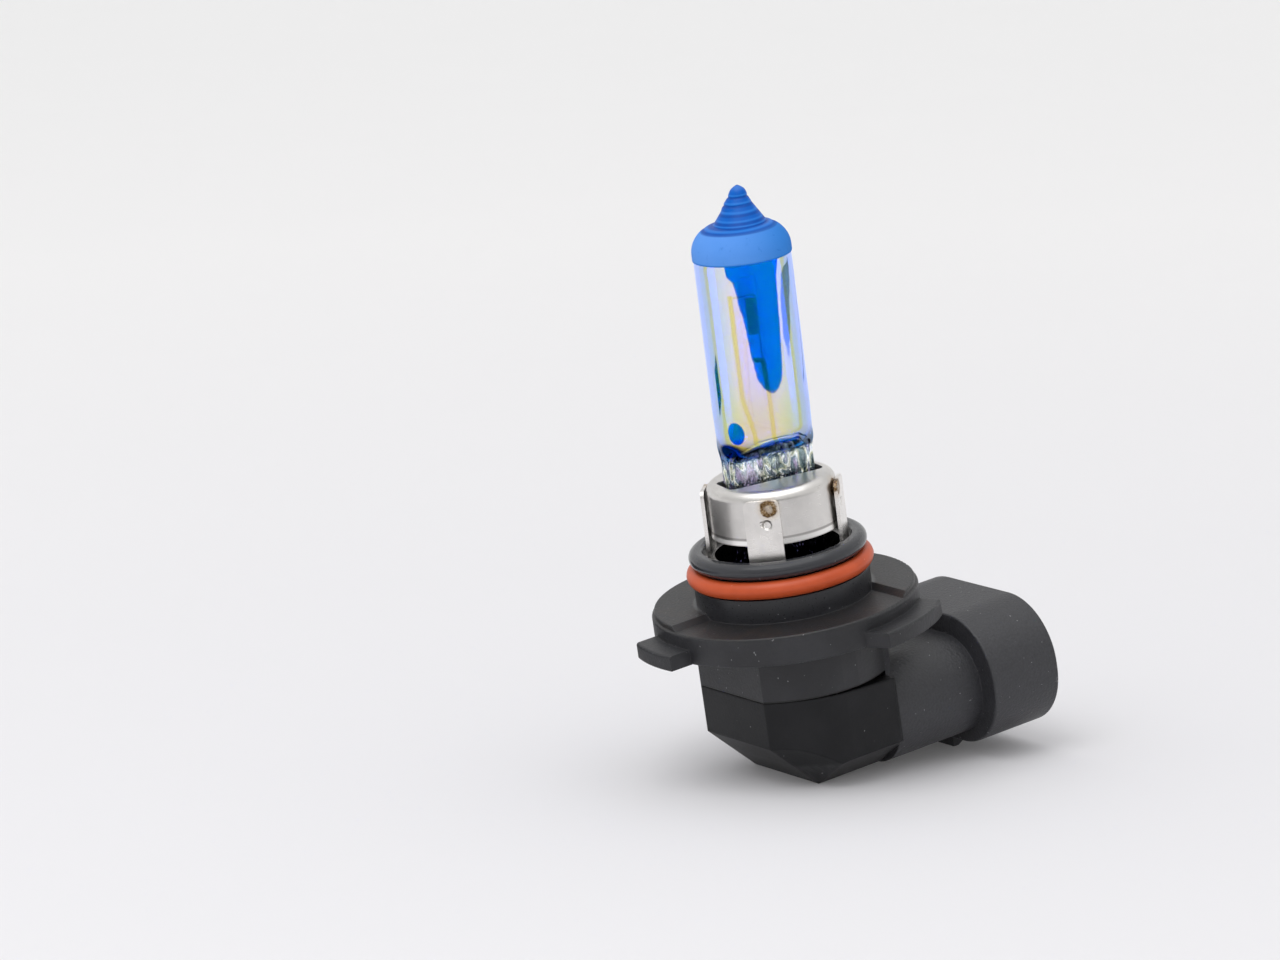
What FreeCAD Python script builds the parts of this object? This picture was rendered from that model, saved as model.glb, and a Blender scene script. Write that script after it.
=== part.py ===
"""Right-angle halogen headlight bulb with a 20 mm plastic cap.

Frame: +Z runs along the bulb's axis towards the glass tip, +X is the way the connector opens.
The origin is on the axis, at the height of the flange's front top face. Lengths are in mm,
angles in degrees.
"""
import FreeCAD, Part
import math
import os

V = FreeCAD.Vector
ORIGIN = V(0, 0, 0)
X_AXIS = V(1, 0, 0)
Y_AXIS = V(0, 1, 0)
Z_AXIS = V(0, 0, 1)

# ---- cap: collar, groove and seal ------------------------------------------------------------
COLLAR_R = 9.75
LIP_R = 9.9
LIP_Z = 5.75
LIP_ROUND = 0.9
CAP_TOP = LIP_Z + LIP_ROUND
SEAL_CORD = 2.0
SEAL_OUT_R = 10.4
SEAL_Z = 3.75
GROOVE_GAP = 0.06
GROOVE_R = SEAL_OUT_R - SEAL_CORD
WELL_R = 7.4
WELL_FLOOR = -3.0
WELL_FLOOR_T = 1.6

# ---- cap: flange and lugs --------------------------------------------------------------------
FLANGE_R = 14.8
FLANGE_T = 3.25
EDGE_ROUND = 0.25
RAISE_H = 0.55
RAISE_RAMP = 0.8
RAISE_X = 7.4
RAISE_Y = 1.4
LUG_R = 17.4
LUG_TOP = -1.55
LUG_ROUND = 0.3
LUGS = (
    # direction of the lug, half width at the root, half width at the rim, sideways shift
    (86.0, 5.6, 4.6, 0.0),
    (180.0, 3.8, 3.8, -1.95),
    (-68.0, 5.8, 5.6, 0.0),
)

# ---- cap: upper body, connector tube and shroud ----------------------------------------------
BODY_R = 10.55
BODY_SIDE = 10.5
HEEL_X = -8.75
SEAM_Z = -8.8
LEAD_ROOM_R = 8.3
TUBE_X0 = 5.8
TUBE_HALF_W = 10.2
TUBE_HALF_H = 5.75
TUBE_Z = -14.45
TUBE_ROUND = 5.4
SHROUD_X0 = 17.5
SHROUD_X1 = 26.6
SHROUD_HALF_W = 12.65
SHROUD_HALF_H = 7.5
SHROUD_Z = -13.9
SHROUD_ROUND = 7.2
SOCKET_HALF_W = 10.9
SOCKET_HALF_H = 5.45
SOCKET_Z = -15.0
SOCKET_ROUND = 5.1
SOCKET_STEP_X = 18.8
SOCKET_FLOOR_X = 14.6
SOCKET_WALL = 1.4
SOCKET_LEAD_IN = 0.7
REAR_ROOM_X1 = 12.6
REAR_ROOM_WALL = 1.6
LATCH_X = (18.3, 22.7)
LATCH_HALF_W = 1.85
LATCH_Y = -0.55
LATCH_H = 1.5
LATCH_GROOVE = 0.5
LATCH_CREST = 0.7
ROOM_WALL = 1.6
NECK_ROOM = (5.3, 7.1)
NECK_ROOM_HALF_W = 5.5
LEAD_SLOT_X = 2.2
LEAD_SLOT_HALF = (1.1, 0.9)

# ---- rear cover --------------------------------------------------------------------------------
COVER_BOTTOM = -19.9
COVER_CHAMFER = 5.7
COVER_FACE_HALF_W = 5.9
COVER_SIDE_EDGE_Z = -16.7
COVER_CORNER_X = -2.75
COVER_WALL = 1.7
COVER_LIP_H = 1.4
COVER_LIP_T = 1.0
COVER_LIP_X1 = 3.0
COVER_MOUTH_IN = 3.2
COVER_GAP_SLOPE = 2.6
COVER_GAP_X = -6.5
COVER_FIT = 0.05

# ---- steel cup, clip and ring of tabs ----------------------------------------------------------
CUP_R = 7.15
CUP_WALL = 0.35
CUP_Z0 = 7.95
CUP_TOP = 13.9
CUP_SHOULDER = 1.1
CUP_FLARE = 0.05
CUP_FLARE_H = 0.5
CUP_SLOT_HALF_L = 5.75
CUP_SLOT_HALF_W = 2.15
CLIP_T = 0.3
CLIP_HALF_L = 4.2
CLIP_GRIP = 2.3
CLIP_Z0 = 9.2
CLIP_Z1 = 13.2
CLIP_BEAD_R = 0.9
CLIP_BEAD_OFF = 0.35
CLIP_BEAD_Z = 11.4
CLIP_BEAD_HALF_L = 3.2
CLIP_END_X = 5.65
CLIP_END_H = 1.6
RING_Z0 = 3.2
RING_SEAT_Z = 5.35
RING_T = 0.4
RING_OUT_R = 8.2
TAB_W = 4.0
TAB_T = 0.4
TAB_IN = 7.22
TAB_TOP = 13.1
TAB_ROUND = 0.7
TAB_DIMPLE_R = 0.55
TAB_DIMPLE_Z = 10.5
TAB_ANGLES = (45, 135, 225, 315)

# ---- glass capsule -----------------------------------------------------------------------------
PINCH_AZ = -10.0
CAPSULE_LEAN = 1.15
GLASS_R = 5.35
GLASS_WALL = 1.35
GLASS_SHOULDER_Z = 39.7
GLASS_BOTTOM_Z = 20.2
COAT_Z = 38.8
COAT_T = 0.12
PINCH_Z0 = 3.6
PINCH_Z1 = 16.6
PINCH_HALF_W = 5.3
PINCH_HALF_T = 1.45
PINCH_BEAD_R = 1.75
PRESS_INSET = 0.03
SHOULDER_FLAT_R = 3.3
SHOULDER_SQUASH = 1.37
SHOULDER_BOW = 0.63
TIP_STEPS = ((1.95, 43.5), (1.5, 44.6), (0.88, 45.5))
TIP_Z = 46.5
TIP_FLAT_R = 0.12
BORE_TOP_ROUND = 1.9
BORE_LOW_ROUND = 1.7

# ---- filament and conductors -------------------------------------------------------------------
COIL_Z0 = 30.0
COIL_Z1 = 34.1
COIL_R = 0.6
COIL_TURNS = 11
COIL_WIRE = 0.22
COIL_OFF = 0.3
COIL_LEG_RISE = 0.3
SUPPORT_OFF = 2.05
LONG_BEND_Z = (19.0, 23.2)
LONG_END_RISE = 0.7
SHORT_BEND_Z = 22.6
SHORT_TOP_Z = 26.9
HOOK_L = 1.0
HOOK_RISE = 0.25
SUPPORT_D = 0.5
LEAD_OFF = 1.15
FOIL_W = 2.2
FOIL_T = 0.1
FOIL_X = 2.1
FOIL_Z0 = 6.2
FOIL_Z1 = 12.4
OUTER_D = 0.7
WIRE_IN_FOIL = 1.2

# ---- terminals ---------------------------------------------------------------------------------
BLADE_Z = -14.75
BLADE_W = 2.8
BLADE_T = 0.8
BLADE_Y = 3.7
BLADE_X1 = 23.2
BLADE_TIP = 0.9
BLADE_TAB_UP = 4.2
BLADE_STOP = 0.4
BACK_NEAR = 0.9
BACK_FAR = -2.9
LEAD_BEND_Z = (-5.6, -9.6)
LEAD_END_GAP = 0.5
POTTING_T = 2.4


# ---- helpers -----------------------------------------------------------------------------------
def cylinder(radius, z0, z1, x=0.0, y=0.0):
    return Part.makeCylinder(radius, z1 - z0, V(x, y, z0))


def box(x0, x1, y0, y1, z0, z1):
    return Part.makeBox(x1 - x0, y1 - y0, z1 - z0, V(x0, y0, z0))


def revolve(edges):
    """A solid of revolution about Z from a closed chain of edges in the XZ plane."""
    face = Part.Face(Part.Wire(Part.sortEdges(edges)[0]))
    return face.revolve(ORIGIN, Z_AXIS, 360)


def line(a, b):
    return Part.LineSegment(V(a[0], 0, a[1]), V(b[0], 0, b[1])).toShape()


def arc(a, middle, b):
    points = [V(p[0], 0, p[1]) for p in (a, middle, b)]
    return Part.Arc(*points).toShape()


def bow(a, middle, b):
    """An arc as a spline, for long arcs whose own circle would cross the axis."""
    points = [V(p[0], 0, p[1]) for p in (a, middle, b)]
    return Part.Arc(*points).toBSpline().toShape()


def turned(shape, degrees):
    copy = shape.copy()
    copy.rotate(ORIGIN, Z_AXIS, degrees)
    return copy


def half_space_cut(shape, point, normal, size=80.0):
    """Removes what lies beyond a plane, on the side its normal points to."""
    block = Part.makeBox(size, size, size, V(-size / 2, -size / 2, 0))
    block.Placement = FreeCAD.Placement(point, FreeCAD.Rotation(Z_AXIS, normal))
    return shape.cut(block)


def oblong(half_w, half_h, radius, x0, x1, z):
    """A bar along X whose section is a rectangle with rounded corners, centred on height z."""
    bar = box(x0, x1, -half_w, half_w, z - half_h, z + half_h)
    along = [e for e in bar.Edges if abs(e.tangentAt(e.FirstParameter).x) > 0.99]
    return bar.makeFillet(radius, along)


def wire_through(points, diameter):
    """Round wire along straight runs, with a ball at each bend."""
    radius = diameter / 2
    parts = []
    for a, b in zip(points, points[1:]):
        run = b - a
        parts.append(Part.makeCylinder(radius, run.Length, a, run))
    for p in points[1:-1]:
        parts.append(Part.makeSphere(radius, p))
    return parts[0].multiFuse(parts[1:]).removeSplitter()


def leaned(shape):
    """The capsule is welded in with a slight lean, after its filament has been aimed."""
    copy = shape.copy()
    copy.rotate(ORIGIN, Y_AXIS, CAPSULE_LEAN)
    return copy


def aimed(shape):
    """Puts a capsule piece at the capsule's own azimuth and lean."""
    return leaned(turned(shape, PINCH_AZ))


def save(shape, name):
    if not shape.isValid():
        raise ValueError(name + " is not a valid solid")
    shape.exportStep("parts/" + name + ".step")
    print("%-22s solids %d  volume %.3f" % (name, len(shape.Solids), shape.Volume))


# ---- cap ---------------------------------------------------------------------------------------
def collar_and_flange():
    """Revolved collar with its rounded lip and seal groove, on the round flange."""
    groove_half = SEAL_CORD / 2 + GROOVE_GAP
    groove_top = SEAL_Z + groove_half
    groove_bottom = SEAL_Z - groove_half
    lip_mid = LIP_R - LIP_ROUND
    edge = FLANGE_R - EDGE_ROUND
    low = -FLANGE_T
    turn = EDGE_ROUND * (1 - math.sqrt(0.5))
    lead_in = 0.25
    profile = [
        line((WELL_R, low), (edge, low)),
        arc((edge, low), (FLANGE_R - turn, low + turn), (FLANGE_R, low + EDGE_ROUND)),
        line((FLANGE_R, low + EDGE_ROUND), (FLANGE_R, -EDGE_ROUND)),
        arc((FLANGE_R, -EDGE_ROUND), (FLANGE_R - turn, -turn), (edge, 0)),
        line((edge, 0), (COLLAR_R, 0)),
        line((COLLAR_R, 0), (COLLAR_R, groove_bottom)),
        line((COLLAR_R, groove_bottom), (GROOVE_R, groove_bottom)),
        line((GROOVE_R, groove_bottom), (GROOVE_R, groove_top)),
        line((GROOVE_R, groove_top), (lip_mid, groove_top)),
        line((lip_mid, groove_top), (lip_mid, LIP_Z - LIP_ROUND)),
        arc((lip_mid, LIP_Z - LIP_ROUND), (LIP_R, LIP_Z), (lip_mid, CAP_TOP)),
        line((lip_mid, CAP_TOP), (RING_OUT_R + lead_in, CAP_TOP)),
        line((RING_OUT_R + lead_in, CAP_TOP), (RING_OUT_R, CAP_TOP - lead_in)),
        line((RING_OUT_R, CAP_TOP - lead_in), (RING_OUT_R, RING_SEAT_Z)),
        line((RING_OUT_R, RING_SEAT_Z), (WELL_R, RING_SEAT_Z)),
        line((WELL_R, RING_SEAT_Z), (WELL_R, low)),
    ]
    return revolve(profile)


def raised_pad():
    """The back part of the flange, a little thicker, which ends in two straight ramps."""
    disc = cylinder(FLANGE_R - 0.3, -0.5, RAISE_H).cut(cylinder(COLLAR_R - 0.4, -1, RAISE_H + 1))
    top = [e for e in disc.Edges if e.BoundBox.ZMin > RAISE_H - 0.01]
    top_rim = [e for e in top if e.BoundBox.XMax > COLLAR_R + 1]
    disc = disc.makeFillet(0.2, top_rim)
    slope = V(-RAISE_H, 0, RAISE_RAMP)
    right = half_space_cut(disc, V(RAISE_X, 0, RAISE_H), slope)
    slope = V(0, -RAISE_H, RAISE_RAMP)
    left = half_space_cut(disc, V(0, RAISE_Y, RAISE_H), slope)
    return right.fuse(left)


def lug(azimuth, root, rim, shift):
    """A bayonet lug: flat sides that run outwards, cut off by the common outer radius."""
    x0 = BODY_R
    x1 = LUG_R + 2
    grow = (rim - root) / (LUG_R - FLANGE_R)
    root_in = root - grow * (FLANGE_R - x0)
    rim_out = rim + grow * (x1 - LUG_R)
    corners = [V(x0, -root_in, 0), V(x1, -rim_out, 0), V(x1, rim_out, 0), V(x0, root_in, 0)]
    face = Part.Face(Part.makePolygon(corners + corners[:1]))
    solid = face.extrude(V(0, 0, LUG_TOP + FLANGE_T))
    solid.translate(V(0, shift, -FLANGE_T))
    solid = solid.common(cylinder(LUG_R, -FLANGE_T - 1, 1))
    rims = [e for e in solid.Edges if e.BoundBox.XMin > FLANGE_R]
    top_rim = [e for e in rims if e.BoundBox.ZMin > LUG_TOP - 0.01]
    return turned(solid.makeFillet(LUG_ROUND, top_rim), azimuth)


def heel_outline(z0, z1, shrink=0.0):
    """Round front with a flat heel face and straight sides that run on towards the connector."""
    side = BODY_SIDE - shrink
    front = cylinder(BODY_R - shrink, z0, z1)
    back = box(0, TUBE_X0, -side, side, z0, z1)
    block = box(HEEL_X + shrink, TUBE_X0, -side, side, z0, z1)
    return front.fuse(back).common(block).removeSplitter()


def upper_body():
    """The short body under the flange: a round drum with a flat heel face."""
    drum = cylinder(BODY_R, SEAM_Z, -FLANGE_T + 0.2)
    block = box(HEEL_X, BODY_R + 1, -BODY_SIDE, BODY_SIDE, SEAM_Z, -FLANGE_T + 0.2)
    return drum.common(block)


def connector_shell():
    """Tube and wider shroud along +X, with the socket and the room behind it cut out."""
    tube = oblong(TUBE_HALF_W, TUBE_HALF_H, TUBE_ROUND, TUBE_X0, SHROUD_X0 + 1, TUBE_Z)
    shroud = oblong(SHROUD_HALF_W, SHROUD_HALF_H, SHROUD_ROUND, SHROUD_X0, SHROUD_X1, SHROUD_Z)
    ends = [e for e in shroud.Edges if e.BoundBox.XMax - e.BoundBox.XMin < 0.01]
    shroud = shroud.makeFillet(EDGE_ROUND, ends)
    neck = cylinder(BODY_R, TUBE_Z, SEAM_Z + 0.5)
    neck = neck.common(box(TUBE_X0, BODY_R, -BODY_SIDE, BODY_SIDE, TUBE_Z, SEAM_Z + 0.5))
    return tube.fuse(shroud).fuse(neck)


def tube_room(wall, x0, x1):
    """A stretch of the tube's inside, for a given wall."""
    return oblong(TUBE_HALF_W - wall, TUBE_HALF_H - wall, TUBE_ROUND - wall, x0, x1, TUBE_Z)


def socket_void():
    """What the mating plug slides into, with a lead-in round its mouth."""
    void = oblong(SOCKET_HALF_W, SOCKET_HALF_H, SOCKET_ROUND, SOCKET_STEP_X, SHROUD_X1 + 1, SOCKET_Z)
    deep = tube_room(SOCKET_WALL, SOCKET_FLOOR_X, SOCKET_STEP_X + 1)
    wide = oblong(
        SOCKET_HALF_W + SOCKET_LEAD_IN * 0.5,
        SOCKET_HALF_H + SOCKET_LEAD_IN * 0.5,
        SOCKET_ROUND + SOCKET_LEAD_IN * 0.5,
        SHROUD_X1 - SOCKET_LEAD_IN,
        SHROUD_X1 + 1,
        SOCKET_Z,
    )
    return void.fuse(deep).fuse(wide)


def latch():
    """The locking ramp under the shroud, split by a shallow groove."""
    low = SHROUD_Z - SHROUD_HALF_H
    x0, x1 = LATCH_X
    root = low + 0.4
    crest = low - LATCH_H
    corners = [V(x0, 0, root), V(x0, 0, crest), V(x0 + LATCH_CREST, 0, crest), V(x1, 0, root)]
    face = Part.Face(Part.makePolygon(corners + corners[:1]))
    ramp = face.extrude(V(0, 2 * LATCH_HALF_W, 0))
    ramp.translate(V(0, LATCH_Y - LATCH_HALF_W, 0))
    half = LATCH_GROOVE / 2
    groove = box(x0 + LATCH_CREST + 0.1, x1 + 1, LATCH_Y - half, LATCH_Y + half, crest - 1, low - 0.02)
    return ramp.cut(groove)


def lead_room():
    """The room under the well's floor, and its way down into the tube."""
    low = SEAM_Z - 1
    room = cylinder(LEAD_ROOM_R, low, WELL_FLOOR - WELL_FLOOR_T)
    room = room.common(box(HEEL_X + ROOM_WALL, BODY_R, -BODY_R, BODY_R, low, 0))
    x0, x1 = NECK_ROOM
    return room.fuse(box(x0, x1, -NECK_ROOM_HALF_W, NECK_ROOM_HALF_W, TUBE_Z, SEAM_Z + 1))


def lead_slot(side):
    """A slot in the well's floor that lets one outer lead through."""
    x = side * LEAD_SLOT_X
    half_x, half_y = LEAD_SLOT_HALF
    slot = box(x - half_x, x + half_x, -half_y, half_y, WELL_FLOOR - WELL_FLOOR_T - 1, WELL_FLOOR + 1)
    return turned(slot, PINCH_AZ)


def make_base_body():
    body = collar_and_flange().fuse(raised_pad())
    for values in LUGS:
        body = body.fuse(lug(*values))
    body = body.fuse(upper_body()).fuse(connector_shell()).fuse(latch())
    body = body.cut(cylinder(WELL_R, WELL_FLOOR, CAP_TOP))
    body = body.cut(lead_room()).cut(socket_void())
    body = body.cut(tube_room(REAR_ROOM_WALL, TUBE_X0 - 1, REAR_ROOM_X1))
    for side in (-1, 1):
        body = body.cut(lead_slot(side)).cut(make_terminal(side))
    return body.removeSplitter()


# ---- rear cover --------------------------------------------------------------------------------
def cover_cuts(solid, shrink=0.0):
    """The chamfers round the cover's bottom: heel, both sides and both corners."""
    low = COVER_BOTTOM + shrink
    heel = HEEL_X + shrink
    chamfer_x = heel + COVER_CHAMFER
    face_y = COVER_FACE_HALF_W - shrink * 0.4
    side_y = BODY_SIDE - shrink
    side_z = COVER_SIDE_EDGE_Z + shrink * 0.6
    solid = half_space_cut(solid, V(chamfer_x, 0, low), V(-1, 0, -1))
    for s in (-1, 1):
        bottom = V(chamfer_x, s * face_y, low)
        corner_y = math.sqrt((BODY_R - shrink) ** 2 - heel**2)
        heel_corner = V(heel, s * corner_y, low + COVER_CHAMFER)
        corner_edge_y = math.sqrt((BODY_R - shrink) ** 2 - COVER_CORNER_X**2)
        side_corner = V(COVER_CORNER_X, s * corner_edge_y, side_z)
        solid = half_space_cut(solid, bottom, V(0, s * (side_z - low), face_y - side_y))
        normal = (heel_corner - bottom).cross(side_corner - bottom)
        if normal.z > 0:
            normal = normal * -1
        solid = half_space_cut(solid, bottom, normal)
    return solid


def make_rear_cover():
    outer = cover_cuts(heel_outline(COVER_BOTTOM, SEAM_Z))
    slope = math.radians(COVER_GAP_SLOPE)
    gap = V(math.sin(slope), 0, math.cos(slope))
    outer = half_space_cut(outer, V(COVER_GAP_X, 0, SEAM_Z), gap)
    inner = cover_cuts(heel_outline(COVER_BOTTOM + COVER_WALL, SEAM_Z + 1, COVER_WALL), COVER_WALL)
    mouth_y = TUBE_HALF_W - COVER_MOUTH_IN
    mouth = box(0, TUBE_X0 + 1, -mouth_y, mouth_y, COVER_BOTTOM + COVER_WALL, SEAM_Z + 1)
    shell = outer.cut(inner).cut(mouth)
    lip_r = LEAD_ROOM_R - COVER_FIT
    low = SEAM_Z - COVER_WALL
    top = SEAM_Z + COVER_LIP_H
    lip = cylinder(lip_r, low, top).cut(cylinder(lip_r - COVER_LIP_T, low - 1, top + 1))
    lip = lip.common(box(HEEL_X + ROOM_WALL + COVER_FIT, COVER_LIP_X1, -lip_r, lip_r, low, top))
    return shell.fuse(lip).removeSplitter()


# ---- seal, ring, cup and clip ------------------------------------------------------------------
def make_seal():
    return Part.makeTorus(SEAL_OUT_R - SEAL_CORD / 2, SEAL_CORD / 2, V(0, 0, SEAL_Z))


def tab():
    strip = box(TAB_IN, TAB_IN + TAB_T, -TAB_W / 2, TAB_W / 2, RING_SEAT_Z + RING_T / 2, TAB_TOP)
    top = [e for e in strip.Edges if e.BoundBox.ZMin > TAB_TOP - 0.01 and e.BoundBox.YLength < 0.01]
    strip = strip.makeFillet(TAB_ROUND, top)
    dimple = Part.makeSphere(TAB_DIMPLE_R, V(TAB_IN + TAB_T + TAB_DIMPLE_R * 0.7, 0, TAB_DIMPLE_Z))
    return strip.cut(dimple)


def make_tab_ring():
    """Pressed ring that sits in the cap, with four flat tabs up the outside of the cup."""
    top = RING_SEAT_Z + RING_T
    ring = cylinder(WELL_R, RING_Z0, top).fuse(cylinder(RING_OUT_R, RING_SEAT_Z, top))
    ring = ring.cut(cylinder(WELL_R - RING_T, RING_Z0 - 1, top + 1))
    for angle in TAB_ANGLES:
        ring = ring.fuse(leaned(turned(tab(), angle)))
    return ring.removeSplitter()


def make_cup():
    """Drawn steel cup, open at the bottom, with a flat slotted top."""
    inner = CUP_R - CUP_WALL
    bend = CUP_SHOULDER
    bend_in = bend - CUP_WALL
    s = math.sqrt(0.5)
    flat = CUP_R - bend
    top_in = CUP_TOP - CUP_WALL
    flare = CUP_R + CUP_FLARE
    profile = [
        line((flare, CUP_Z0), (CUP_R, CUP_Z0 + CUP_FLARE_H)),
        line((CUP_R, CUP_Z0 + CUP_FLARE_H), (CUP_R, CUP_TOP - bend)),
        arc((CUP_R, CUP_TOP - bend), (flat + bend * s, CUP_TOP - bend + bend * s), (flat, CUP_TOP)),
        line((flat, CUP_TOP), (0, CUP_TOP)),
        line((0, CUP_TOP), (0, top_in)),
        line((0, top_in), (flat, top_in)),
        arc((flat, top_in), (flat + bend_in * s, CUP_TOP - bend + bend_in * s), (inner, CUP_TOP - bend)),
        line((inner, CUP_TOP - bend), (inner, CUP_Z0 + CUP_FLARE_H)),
        line((inner, CUP_Z0 + CUP_FLARE_H), (inner + CUP_FLARE, CUP_Z0)),
        line((inner + CUP_FLARE, CUP_Z0), (flare, CUP_Z0)),
    ]
    slot = box(-CUP_SLOT_HALF_L, CUP_SLOT_HALF_L, -CUP_SLOT_HALF_W, CUP_SLOT_HALF_W, CUP_Z0, CUP_TOP + 1)
    corners = [e for e in slot.Edges if abs(e.tangentAt(e.FirstParameter).z) > 0.99]
    slot = slot.makeFillet(0.8, corners)
    return leaned(revolve(profile).cut(turned(slot, PINCH_AZ)))


def clip_side(side):
    """A plate along one face of the seal, with a foot out to the cup and a sprung bead."""
    t = CLIP_T
    reach = math.sqrt((CUP_R - CUP_WALL - 0.02) ** 2 - CLIP_HALF_L**2)
    plate = box(-CLIP_HALF_L, CLIP_HALF_L, CLIP_GRIP - t / 2, CLIP_GRIP + t / 2, CLIP_Z0, CLIP_Z1)
    foot = box(-CLIP_HALF_L, CLIP_HALF_L, CLIP_GRIP, reach, CLIP_Z0, CLIP_Z0 + t)
    y = CLIP_GRIP + CLIP_BEAD_OFF
    half = CLIP_BEAD_HALF_L
    bead = Part.makeCylinder(CLIP_BEAD_R, 2 * half, V(-half, y, CLIP_BEAD_Z), X_AXIS)
    bead = bead.cut(Part.makeCylinder(CLIP_BEAD_R - t, 2 * half, V(-half, y, CLIP_BEAD_Z), X_AXIS))
    bead = bead.common(box(-half, half, 0, CLIP_GRIP - t / 2, CLIP_Z0, CLIP_Z1))
    solid = plate.fuse(foot).fuse(bead)
    return solid if side > 0 else turned(solid, 180)


def clip_end(side):
    """The strap that joins both plates round one edge of the seal."""
    t = CLIP_T
    x = CLIP_END_X
    y = CLIP_GRIP + t / 2
    outer = box(CLIP_HALF_L, x + t, -y, y, CLIP_Z0, CLIP_Z0 + CLIP_END_H)
    inner = box(CLIP_HALF_L - 1, x, t - y, y - t, CLIP_Z0 - 1, CLIP_Z0 + CLIP_END_H + 1)
    solid = outer.cut(inner)
    return solid if side > 0 else turned(solid, 180)


def make_pinch_clip():
    """Folded spring clip inside the cup that grips the flat seal of the glass."""
    halves = [clip_side(1), clip_side(-1)]
    ends = [clip_end(1), clip_end(-1)]
    return aimed(halves[0].multiFuse(halves[1:] + ends).removeSplitter())


# ---- glass capsule -----------------------------------------------------------------------------
def superellipse(a, b, power, z, count=32):
    """A closed smooth wire whose section goes from an ellipse towards a rectangle."""
    points = []
    for i in range(count):
        angle = 2 * math.pi * i / count
        c = math.cos(angle)
        s = math.sin(angle)
        x = a * math.copysign(abs(c) ** (2.0 / power), c)
        y = b * math.copysign(abs(s) ** (2.0 / power), s)
        points.append(V(x, y, z))
    curve = Part.BSplineCurve()
    curve.interpolate(Points=points, PeriodicFlag=True)
    return Part.Wire(curve.toShape())


def press_zone():
    """Where the round tube is pressed flat into the seal, one section for each mm down."""
    r = GLASS_R - PRESS_INSET
    narrow = GLASS_R - PINCH_HALF_W
    thin = GLASS_R - PINCH_HALF_T
    steps = (
        # share of the narrowing, share of the flattening, squareness of the section
        (0.0, 0.0, 2.0),
        (0.3, 0.19, 2.1),
        (0.7, 0.56, 2.6),
        (1.0, 0.91, 3.6),
        (1.0, 1.0, 5.0),
    )
    sections = [superellipse(r, r, 2.0, GLASS_BOTTOM_Z + 1)]
    for i, (narrowing, flattening, power) in enumerate(steps):
        z = GLASS_BOTTOM_Z - i
        sections.append(superellipse(r - narrowing * narrow, r - flattening * thin, power, z))
    return Part.makeLoft(sections, True, False)


def tip_profile(offset=0.0):
    """Outer profile of shoulder and exhaust tip, as edges from the tube to the axis."""
    r = GLASS_R + offset
    z = GLASS_SHOULDER_Z
    bend = r - SHOULDER_FLAT_R
    top = z + bend * SHOULDER_SQUASH
    mid = (SHOULDER_FLAT_R + bend * SHOULDER_BOW, z + (top - z) * SHOULDER_BOW)
    flat = (SHOULDER_FLAT_R, top)
    foot, step, neck = [(radius + offset, height) for radius, height in TIP_STEPS]
    end = (TIP_FLAT_R, TIP_Z + offset)
    return [
        bow((r, z), mid, flat),
        bow(flat, (2.6, top + 0.38), foot),
        bow(foot, (foot[0] - 0.08, (foot[1] + step[1]) / 2), step),
        bow(step, (step[0] - 0.34, step[1] + 0.46), neck),
        bow(neck, (neck[0] * 0.8, neck[1] + (end[1] - neck[1]) * 0.66), end),
        line(end, (0, end[1])),
    ]


def glass_outside():
    edges = tip_profile()
    corners = [(0, TIP_Z), (0, GLASS_BOTTOM_Z), (GLASS_R, GLASS_BOTTOM_Z), (GLASS_R, GLASS_SHOULDER_Z)]
    for a, b in zip(corners, corners[1:]):
        edges.append(line(a, b))
    return revolve(edges)


def glass_inside():
    """The gas space: a round bore with rounded ends."""
    r = GLASS_R - GLASS_WALL
    s = math.sqrt(0.5)
    z0 = GLASS_BOTTOM_Z + 0.6
    z1 = GLASS_SHOULDER_Z - 0.2
    bend = BORE_TOP_ROUND
    low = BORE_LOW_ROUND
    floor = (0, z0 - low)
    roof = (0, z1 + bend)
    edges = [
        line(floor, (r - low, z0 - low)),
        arc((r - low, z0 - low), (r - low + low * s, z0 - low * s), (r, z0)),
        line((r, z0), (r, z1)),
        arc((r, z1), (r - bend + bend * s, z1 + bend * s), (r - bend, z1 + bend)),
        line((r - bend, z1 + bend), roof),
        line(roof, floor),
    ]
    return revolve(edges)


def pinch():
    """The flat seal: a slab with a rounded bead along each edge."""
    slab = box(-PINCH_HALF_W + 0.3, PINCH_HALF_W - 0.3, -PINCH_HALF_T, PINCH_HALF_T, PINCH_Z0, PINCH_Z1)
    for s in (-1, 1):
        bead = cylinder(PINCH_BEAD_R, PINCH_Z0, PINCH_Z1, s * (PINCH_HALF_W - PINCH_BEAD_R), 0)
        slab = slab.fuse(bead)
    return slab


def make_glass(sealed_in):
    glass = glass_outside().fuse(press_zone()).fuse(pinch()).cut(glass_inside())
    for piece in sealed_in:
        glass = glass.cut(piece)
    return glass


def make_dome_coating():
    """Coloured ceramic coat over the shoulder and tip, down to a sharp lower edge."""
    r = GLASS_R + COAT_T
    outer = tip_profile(COAT_T)
    inner = tip_profile()
    edges = outer + [line((r, GLASS_SHOULDER_Z), (r, COAT_Z)), line((r, COAT_Z), (GLASS_R, COAT_Z))]
    edges += [line((GLASS_R, COAT_Z), (GLASS_R, GLASS_SHOULDER_Z))] + inner
    edges.append(line((0, TIP_Z), (0, TIP_Z + COAT_T)))
    return revolve(edges)


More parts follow.
